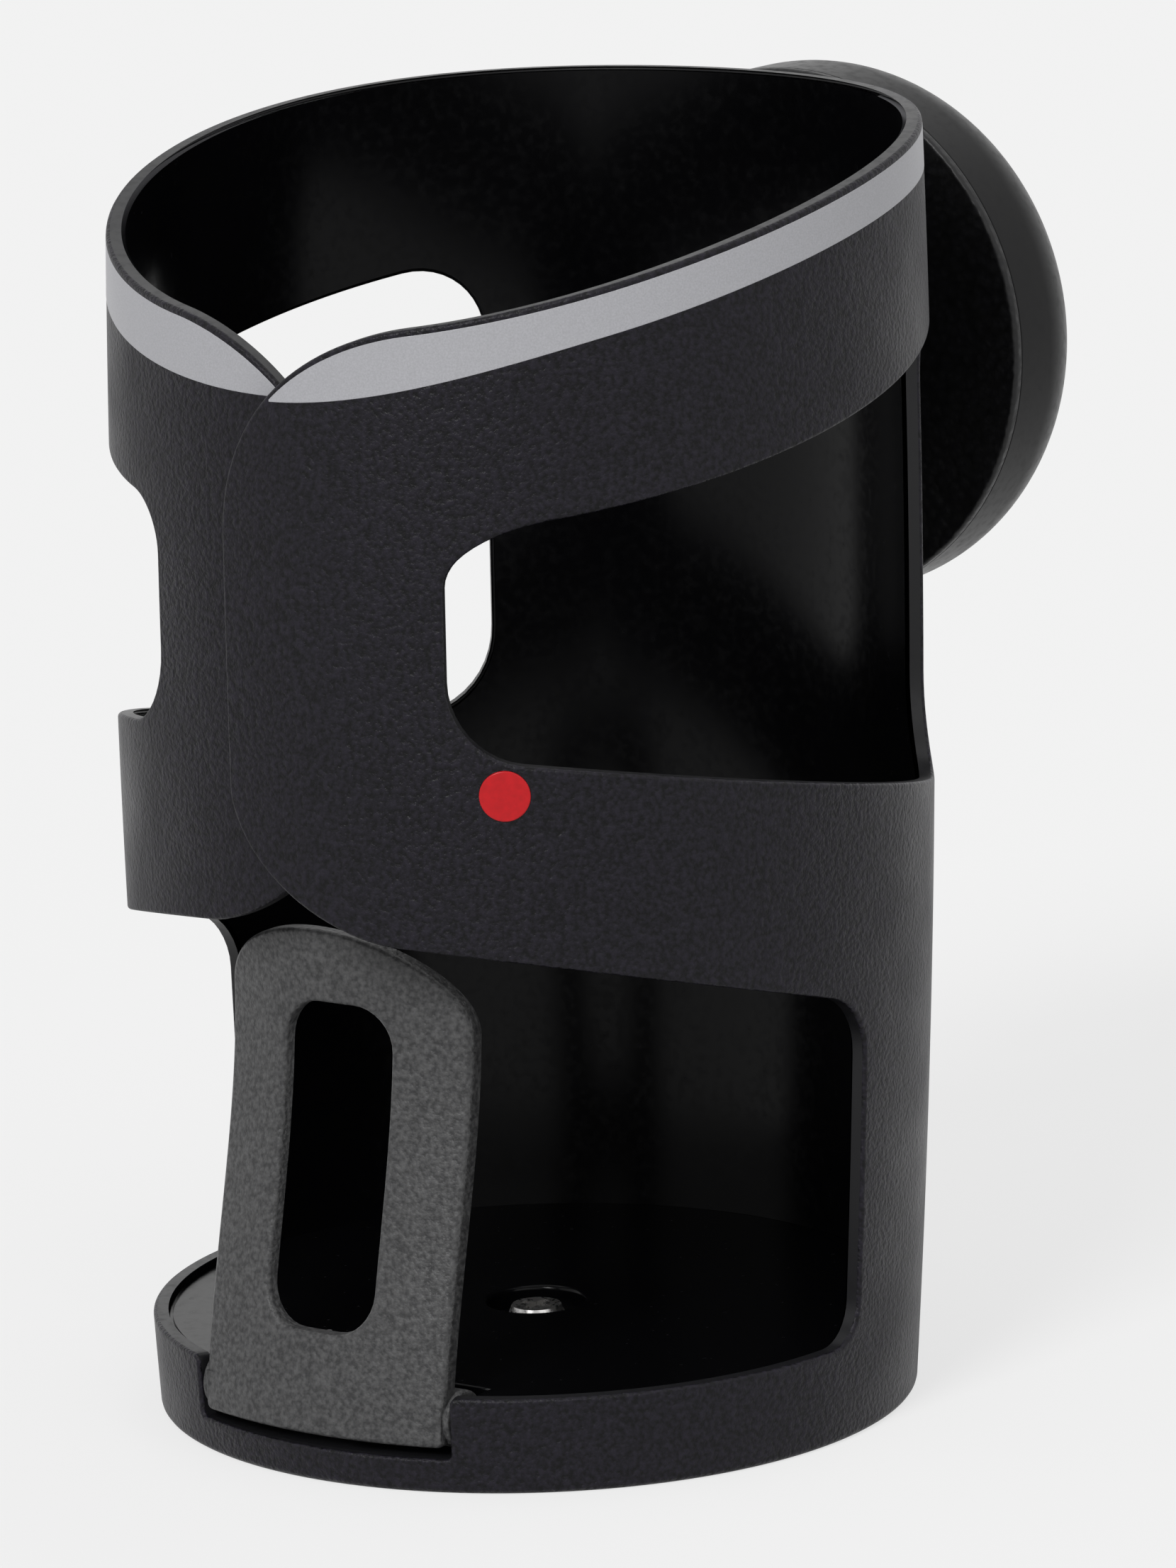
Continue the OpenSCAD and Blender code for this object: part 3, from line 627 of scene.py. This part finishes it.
def window(front, rear, top_run):
    """Clockwise outline of the right window between two angles; its upper front corner is top_run long."""
    top_drop, rear_top, rear_low, front_low = 6.0, 10.2, 12.0, 8.4
    return np.concatenate([
        bent(corner((front * K + top_run, -top_drop), top_run, 180, 90, 12, 2, top_drop), top_at),
        along(run(front + deg(top_run), rear - deg(rear_top)), top_at),
        bent(corner((rear * K - rear_top, -rear_top), rear_top, 90, 0, 12), top_at),
        upright_line(rear, top_at(rear) - rear_top, low_at(rear) + rear_low),
        bent(corner((rear * K - rear_low, rear_low), rear_low, 360, 270, 12), low_at),
        along(run(rear - deg(rear_low), front + deg(front_low)), low_at),
        bent(corner((front * K + front_low, front_low), front_low, 270, 180, 10), low_at),
        upright_line(front, low_at(front) + front_low, top_at(front) - top_drop),
    ])


def mirrored(line):
    """A line of the right arm taken over to the left one, in the same sense of turning."""
    return line[::-1] * [-1, 1] + [360 * K, 0]


def foot_safe_place(uv, depth):
    p = wall_place(uv, depth)
    p[..., 2] = np.maximum(p[..., 2], 0)
    return p


body = Parts()
foot_angles = np.linspace(A0, A1, 241)
seam = np.linspace(float(foot_at(A0)) + FOOT_F, float(level_notch(A0)) - WALL_F, 4)[1:-1]
wall_loops = [
    [(along(foot_angles, foot_at), False, FOOT_F),
     (np.stack([np.full(2, A1 * K), seam], -1), False, 0),
     (wall_outline(), False, WALL_F),
     (np.stack([np.full(2, A0 * K), seam[::-1]], -1), False, 0)],
    [(window(*RIGHT_WINDOW), True, WALL_F)],
    [(mirrored(window(*LEFT_WINDOW)), True, WALL_F)],
]
shell(body, wall_loops, foot_safe_place, WALL, 1.9, (0, 1, 2))

# floor with its screw recess, and the notch under the flap
RECESS_R, SEAT_Z, SCREW_HOLE_R, SCREW_HOLE_LOW = 5.75, 8.0, 1.6, 5.5
FLOOR_R, PLATE_R, PLATE_T, PLATE_LAP, SEAT_LAP = 42.6, 43.2, 1.4, 0.2, 0.3
notch_x0, notch_x1 = FLAP_X - NOTCH_HALF, FLAP_X + NOTCH_HALF
notch_y0, notch_y1 = -math.sqrt(FLOOR_R ** 2 - notch_x0 ** 2), -math.sqrt(FLOOR_R ** 2 - notch_x1 ** 2)
arc = np.radians(np.linspace(math.degrees(math.atan2(notch_x1, -notch_y1)),
                             360 - math.degrees(math.atan2(-notch_x0, -notch_y0)), 180))
floor_arc = np.stack([FLOOR_R * np.sin(arc), -FLOOR_R * np.cos(arc)], -1)
notch_line = polyline([(notch_x0, notch_y0), (notch_x0, NOTCH_BACK), (notch_x1, NOTCH_BACK),
                       (notch_x1, notch_y1)])


def flat_place(top):
    """A level sheet whose upper face is at the height top."""
    return lambda uv, depth: np.concatenate([uv, (top - depth * np.ones(len(uv)))[:, None]], -1)


recess = circle(RECESS_R, 96, clockwise=True)
shell(body, [[(floor_arc[1:-1], False, 0), (notch_line, False, 0.3)], [(recess, True, 0.55)]],
      flat_place(FLOOR_Z), FLOOR_Z - NOTCH_Z, 2.2, (2, 2, 1))
screw_seat = rounded([(SCREW_HOLE_R, SCREW_HOLE_LOW), (SCREW_HOLE_R, SEAT_Z), (RECESS_R + SEAT_LAP, SEAT_Z)],
                     [0, 0.2, 0])
lathe(body, screw_seat[::-1], upright, 96, 2)
plate_x0, plate_x1, plate_back = notch_x0 - PLATE_LAP, notch_x1 + PLATE_LAP, NOTCH_BACK + PLATE_LAP
plate_x = np.linspace(plate_x0, plate_x1, 24)
plate_front = np.stack([plate_x, -np.sqrt(PLATE_R ** 2 - plate_x ** 2)], -1)
plate_rest = polyline([tuple(plate_front[-1]), (plate_x1, plate_back), (plate_x0, plate_back),
                       tuple(plate_front[0])])
plate = np.concatenate([plate_front[:-1], plate_rest[:-1]])
shell(body, [[(plate, True, 0.1)]], flat_place(NOTCH_Z), PLATE_T, 3.0, (1, 1, 1))

# boss and spigot behind the wall
BOSS_R, BOSS_SINK, BOSS_GAP = 13.0, 2.1, 0.4
SPIGOT_R, PILOT_R, PILOT_END = 7.0, 1.65, -6.4
boss = rounded([(BOSS_R, -STAND_OFF - BOSS_SINK), (BOSS_R, -BOSS_GAP), (SPIGOT_R, -BOSS_GAP),
                (SPIGOT_R, SPIGOT_LEN), (PILOT_R, SPIGOT_LEN), (PILOT_R, PILOT_END), (0, PILOT_END)],
               [0, 0.5, 0.4, 0.4, 0.2, 0, 0])
lathe(body, boss, on_mount, 128, 1)
cup = body.make("cup_wall", [BLACK, EDGE, GLOSS])
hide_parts("cup_body")
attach(cup, "holder")

# Rim strips and badge

STRIP_EDGE, STRIP_BACK, STRIP_TIP, STRIP_FRONT, STRIP_FRONT_H = 0.7, 150.0, 6.4, 48.0, 6.8
RIGHT_STRIP_H, LEFT_STRIP_H = 4.8, 6.6
PROUD, TIP_H, STRIP_T, STRIP_F = 0.03, 0.3, 0.8, 0.12


def arm_rim(a):
    s = np.maximum((a - A0) * K, 0)
    u = np.clip(1 - s / TOP_RUN, 0, 1)
    return rim_at(a) - TOP_DROP * (1 - np.sqrt(1 - u ** 2))


def strip_at(a, h):
    t = np.clip(a / STRIP_FRONT, 0, 1)
    return STRIP_FRONT_H + (h - STRIP_FRONT_H) * t * t * (3 - 2 * t)


def strip_outline(h):
    """Counter-clockwise outline of the right strip: lower edge, round back end, upper edge to the tip."""
    def low(a):
        return rim_at(a) - STRIP_EDGE - strip_at(a, h)

    def high(a):
        return arm_rim(a) - STRIP_EDGE

    tips = np.linspace(A0 + deg(STRIP_TIP), A0 + deg(TOP_RUN), 400)
    tip_a = tips[np.argmax(high(tips) - low(tips) > TIP_H)]
    r = h / 2
    b = STRIP_BACK
    tail = np.concatenate([corner((b * K - r, -r), r, 270, 360, 6), corner((b * K - r, -r), r, 0, 90, 6)[1:]])
    tail = bent(tail, lambda a: rim_at(a) - STRIP_EDGE)
    n = int((b - tip_a) * K / 1.2)
    t = np.linspace(0, 1, n + 1)
    bottom = tip_a + (b - deg(r) - tip_a) * t
    # the points of the upper edge stand closer together near the tip
    near = tip_a + (b - deg(r) - tip_a) * t[::-1] ** 1.15
    return np.concatenate([along(bottom[:-1], low), tail, along(near[1:], high)])


def strip_place(uv, depth):
    return wall_place(uv, depth - PROUD)


right_line = strip_outline(RIGHT_STRIP_H)
left_line = mirrored(strip_outline(LEFT_STRIP_H))
for side_name, line in (("right", right_line), ("left", left_line)):
    strip = Parts()
    shell(strip, [[(line, True, STRIP_F)]], strip_place, STRIP_T, (2.0, 1.4), steps=3)
    obj = strip.make(side_name + "_strip", [STRIP])
    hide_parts(side_name + "_rim_strip")
    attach(obj, "holder")

BADGE_A, BADGE_R, BADGE_MARGIN = 33.0, 2.85, 0.6
BADGE_PROUD, BADGE_CROWN, BADGE_T, BADGE_F = 0.22, 0.03, 0.9, 0.18
BADGE_ZL = float(low_at(BADGE_A)) - BADGE_MARGIN - BADGE_R
badge_scale = MOUTH_R / wall_r(BADGE_ZL)


def badge_place(uv, depth):
    crown = BADGE_PROUD + BADGE_CROWN * (1 - (uv[..., 0] ** 2 + uv[..., 1] ** 2) / BADGE_R ** 2)
    spot = np.stack([BADGE_A * K + uv[..., 0] * badge_scale, BADGE_ZL + uv[..., 1]], -1)
    return wall_place(spot, depth - crown)


dot = Parts()
shell(dot, [[(circle(BADGE_R, 72), True, BADGE_F)]], badge_place, BADGE_T, 0.7)
dot = dot.make("round_badge", [RED])
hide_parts("badge_dot")
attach(dot, "holder")

# Grip flap

FLAP_CY, FLAP_T, FLAP_HALF, FLAP_FOOT, FLAP_TOP = 10.0, 2.4, 16.7, 5.1, 61.5
FLAP_ROUND, FLAP_SLANT, FLAP_LOW_R, FLAP_F = 9.3, 0.09, 0.9, 0.6
FLAP_R, FLAP_LEAN_IN, FLAP_LEAN_Z = 53.6, 8.0, 54.0
SLOT_HALF, SLOT_LOW, SLOT_HIGH, SLOT_R = 7.4, 16.6, 53.3, 5.0
KNUCKLE_R, PIN_R, KNUCKLE_FROM, KNUCKLE_TO = 3.3, 1.6, 4.2, 17.3
WEB_HALF, WEB_T, WEB_FACE = 1.9, 2.2, 3.6


def flap_r(z):
    t = np.clip(z / FLAP_LEAN_Z, 0, 1)
    return FLAP_R - FLAP_LEAN_IN * t * t * (3 - 2 * t)


def flap_place(uv, depth):
    r = flap_r(uv[..., 1]) - depth
    return np.stack([uv[..., 0] + FLAP_X, FLAP_CY - np.sqrt(r ** 2 - uv[..., 0] ** 2), uv[..., 1]], -1)


def flap_outline():
    t = np.radians(np.linspace(90, -90, 61))
    x = FLAP_HALF * np.sin(t)
    top = np.stack([x, FLAP_TOP - FLAP_ROUND * (1 - np.cos(t)) - FLAP_SLANT * x], -1)
    r = FLAP_LOW_R
    return np.concatenate([
        polyline([(-FLAP_HALF + r, FLAP_FOOT), (FLAP_HALF - r, FLAP_FOOT)])[:-1],
        corner((FLAP_HALF - r, FLAP_FOOT + r), r, 270, 360, 4),
        polyline([(FLAP_HALF, FLAP_FOOT + r), tuple(top[0])])[1:-1],
        top,
        polyline([tuple(top[-1]), (-FLAP_HALF, FLAP_FOOT + r)])[1:-1],
        corner((-FLAP_HALF + r, FLAP_FOOT + r), r, 180, 270, 4)[:-1],
    ])


def slot_outline():
    """Clockwise outline of the slot."""
    half, low, high, r = SLOT_HALF, SLOT_LOW, SLOT_HIGH, SLOT_R
    return np.concatenate([
        corner((-half + r, high - r), r, 180, 90), polyline([(-half + r, high), (half - r, high)])[1:-1],
        corner((half - r, high - r), r, 90, 0), polyline([(half, high - r), (half, low + r)])[1:-1],
        corner((half - r, low + r), r, 360, 270), polyline([(half - r, low), (-half + r, low)])[1:-1],
        corner((-half + r, low + r), r, 270, 180), polyline([(-half, low + r), (-half, high - r)])[1:-1],
    ])


def web_place(uv, depth):
    """Between the knuckles and the back of the flap."""
    return np.stack([uv[..., 0], np.full(len(uv), HINGE_Y - WEB_FACE) + depth, uv[..., 1]], -1)


flap = Parts()
shell(flap, [[(flap_outline(), True, FLAP_F)], [(slot_outline(), True, FLAP_F)]], flap_place,
      FLAP_T, 1.5, steps=5)
for x0, x1 in ((FLAP_X - KNUCKLE_TO, FLAP_X - KNUCKLE_FROM), (FLAP_X + KNUCKLE_FROM, FLAP_X + KNUCKLE_TO)):
    ring = rounded([(PIN_R, x0), (KNUCKLE_R, x0), (KNUCKLE_R, x1), (PIN_R, x1), (PIN_R, x0)],
                   [0, 0.3, 0.3, 0, 0])
    lathe(flap, ring, along_x(HINGE_Y, HINGE_Z), 48, 0)
    web_x0, web_x1 = max(x0, FLAP_X - FLAP_HALF) + 0.2, min(x1, FLAP_X + FLAP_HALF) - 0.2
    web_z0, web_z1 = HINGE_Z - WEB_HALF, HINGE_Z + WEB_HALF
    web = polyline([(web_x0, web_z0), (web_x1, web_z0), (web_x1, web_z1), (web_x0, web_z1),
                    (web_x0, web_z0)])[:-1]
    shell(flap, [[(web, True, 0.2)]], web_place, WEB_T, 2.0, steps=2)
flap_obj = flap.make("flap", [GREY])
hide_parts("grip_flap")
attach(flap_obj, "flap")

# Swivel mount

LIP_Z, LIP_TOP, SIDE_Z, DOME_R, DOME_IN_R = 1.2, 3.4, 5.0, 12.5, 29.6
HUB_BORE, HUB_R, FACE_T, FACE_R = 9.1, 11.1, 3.0, 29.4
HOLD_R, SCREW_CIRCLE, SCREW_ACCESS_R, INSERT_R, HOLE_DEPTH, HOLE_F = 21.5, 17.0, 2.75, 3.65, 8.0, 0.25
face = Parts()
face_line = rounded([(HUB_BORE, HUB_TOP), (HUB_BORE, 0), (DISC_R, 0), (DISC_R, LIP_Z), (FACE_R, LIP_Z),
                     (FACE_R, FACE_T), (HUB_R, FACE_T), (HUB_R, HUB_TOP), (HUB_BORE, HUB_TOP)],
                    [0, 0.3, 0.8, 0.12, 0, 0, 0, 0, 0], 5)
lathe(face, face_line, on_mount, 192, 0)
face = face.make("mount_plate", [PEBBLE])
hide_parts("mount_face")
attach(face, "mount")

dome = Parts()
start = math.asin((HOLD_R - (DISC_R - DOME_R)) / DOME_R)
arc_pts = [(DISC_R - DOME_R + DOME_R * math.cos(t), DEPTH - DOME_R + DOME_R * math.sin(t))
           for t in np.linspace(0, math.pi / 2 - start, 36)]
lip = rounded([(DOME_IN_R, LIP_Z), (DISC_R, LIP_Z), (DISC_R, LIP_TOP)], [0, 0.12, 0])
lathe(dome, [*lip, (DISC_R, SIDE_Z), *arc_pts], on_mount, 192, 0)


def dome_drop(uv):
    past = np.maximum(np.hypot(uv[..., 0], uv[..., 1]) - (DISC_R - DOME_R), 0)
    return DOME_R - np.sqrt(DOME_R ** 2 - past ** 2)


def back_place(uv, depth):
    return on_mount(np.concatenate([uv, (DEPTH - dome_drop(uv) - depth)[..., None]], -1))


back_loops = [[(circle(HOLD_R, 192), True, 0)]]
for a in (60, 180, 300):
    at = SCREW_CIRCLE * np.array([math.cos(math.radians(a)), math.sin(math.radians(a))])
    back_loops.append([(circle(SCREW_ACCESS_R, 48, clockwise=True) + at, True, HOLE_F)])
back_loops.append([(circle(INSERT_R, 48, clockwise=True), True, HOLE_F)])
shell(dome, back_loops, back_place, HOLE_DEPTH, 2.2, steps=3, back=False)
dome = dome.make("mount_shell", [SATIN])
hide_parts("mount_dome")
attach(dome, "mount")

# Nodes that keep their CAD shape

BEVEL_FROM = 35


def dress(name, mat, bevel=0.0):
    """The CAD node with a material, and with its edges softened by bevel mm."""
    obj = nodes[name]
    obj.data.materials.clear()
    obj.data.materials.append(mat)
    if bevel:
        mod = obj.modifiers.new("soft_edges", "BEVEL")
        mod.width = bevel * MM
        mod.segments = 3
        mod.limit_method = "ANGLE"
        mod.angle_limit = math.radians(BEVEL_FROM)
        mod.harden_normals = True


dress("flap_pin", STEEL)
dress("flap_spring", SPRING)
dress("base_cover", COVER, 0.25)
dress("floor_screw", STEEL, 0.18)
dress("swivel_bushing", ACETAL)
dress("friction_washer", FIBRE)
dress("retaining_washer", STEEL)
dress("pivot_screw", STEEL)
dress("shell_screws", STEEL, 0.12)
dress("mount_insert", BRASS, 0.12)

# Floor, backdrop and light

BACKGROUND, SOFT_LIGHT = 0.93, 0.42
FLOOR_GLOW, FLOOR_KEEP, FLOOR_PALE, FLOOR_HALF = 0.98, 0.3, 0.8, 4.0


def is_seen(tree):
    """1 for rays that come from the camera, a gloss or a glass."""
    path = tree.nodes.new("ShaderNodeLightPath")
    first = tree.nodes.new("ShaderNodeMath")
    first.operation = "MAXIMUM"
    second = tree.nodes.new("ShaderNodeMath")
    second.operation = "MAXIMUM"
    tree.links.new(path.outputs["Is Camera Ray"], first.inputs[0])
    tree.links.new(path.outputs["Is Glossy Ray"], first.inputs[1])
    tree.links.new(first.outputs[0], second.inputs[0])
    tree.links.new(path.outputs["Is Transmission Ray"], second.inputs[1])
    return second.outputs[0]


def blend(tree, factor, first, second):
    """A mix of two shaders; factor is a number or an output."""
    node = tree.nodes.new("ShaderNodeMixShader")
    if isinstance(factor, float):
        node.inputs["Fac"].default_value = factor
    else:
        tree.links.new(factor, node.inputs["Fac"])
    tree.links.new(first, node.inputs[1])
    tree.links.new(second, node.inputs[2])
    return node.outputs[0]


def floor_material():
    """Takes shadows, and looks nearly as pale as the backdrop to the camera."""
    mat = bpy.data.materials.new("studio_floor")
    mat.use_nodes = True
    tree = mat.node_tree
    tree.nodes.clear()
    out = tree.nodes.new("ShaderNodeOutputMaterial")
    diffuse = tree.nodes.new("ShaderNodeBsdfDiffuse")
    diffuse.inputs["Color"].default_value = (FLOOR_PALE, FLOOR_PALE, FLOOR_PALE, 1)
    glow = tree.nodes.new("ShaderNodeEmission")
    glow.inputs["Strength"].default_value = FLOOR_GLOW
    shown = blend(tree, FLOOR_KEEP, glow.outputs[0], diffuse.outputs[0])
    tree.links.new(blend(tree, is_seen(tree), diffuse.outputs[0], shown), out.inputs["Surface"])
    return mat


def background(tree, strength):
    node = tree.nodes.new("ShaderNodeBackground")
    node.inputs["Color"].default_value = (1, 1, 1, 1)
    node.inputs["Strength"].default_value = strength
    return node.outputs[0]


corners = [(-FLOOR_HALF, -FLOOR_HALF), (FLOOR_HALF, -FLOOR_HALF), (FLOOR_HALF, FLOOR_HALF),
           (-FLOOR_HALF, FLOOR_HALF)]
floor_mesh = bpy.data.meshes.new("studio_floor")
floor_mesh.from_pydata([(x, y, 0) for x, y in corners], [], [(0, 1, 2, 3)])
floor_mesh.materials.append(floor_material())
floor = bpy.data.objects.new("studio_floor", floor_mesh)
bpy.context.collection.objects.link(floor)

world = bpy.data.worlds.new("studio")
bpy.context.scene.world = world
world.use_nodes = True
world_tree = world.node_tree
world_tree.nodes.clear()
world_out = world_tree.nodes.new("ShaderNodeOutputWorld")
soft = background(world_tree, SOFT_LIGHT)
seen = background(world_tree, BACKGROUND)
sky = blend(world_tree, is_seen(world_tree), soft, seen)
world_tree.links.new(sky, world_out.inputs["Surface"])


def sun(name, azimuth, elevation, strength, spread):
    """A soft lamp far away; azimuth 0 shines from the front (-Y), 90 from +X."""
    data = bpy.data.lights.new(name, "SUN")
    data.energy = strength
    data.angle = math.radians(spread)
    obj = bpy.data.objects.new(name, data)
    bpy.context.collection.objects.link(obj)
    a, e = math.radians(azimuth), math.radians(elevation)
    towards = Vector((math.sin(a) * math.cos(e), -math.cos(a) * math.cos(e), math.sin(e)))
    obj.rotation_euler = towards.to_track_quat("Z", "Y").to_euler()


sun("key", 8, 38, 1.55, 18)
sun("fill", 75, 35, 0.3, 50)
sun("rim", 170, 60, 0.2, 40)
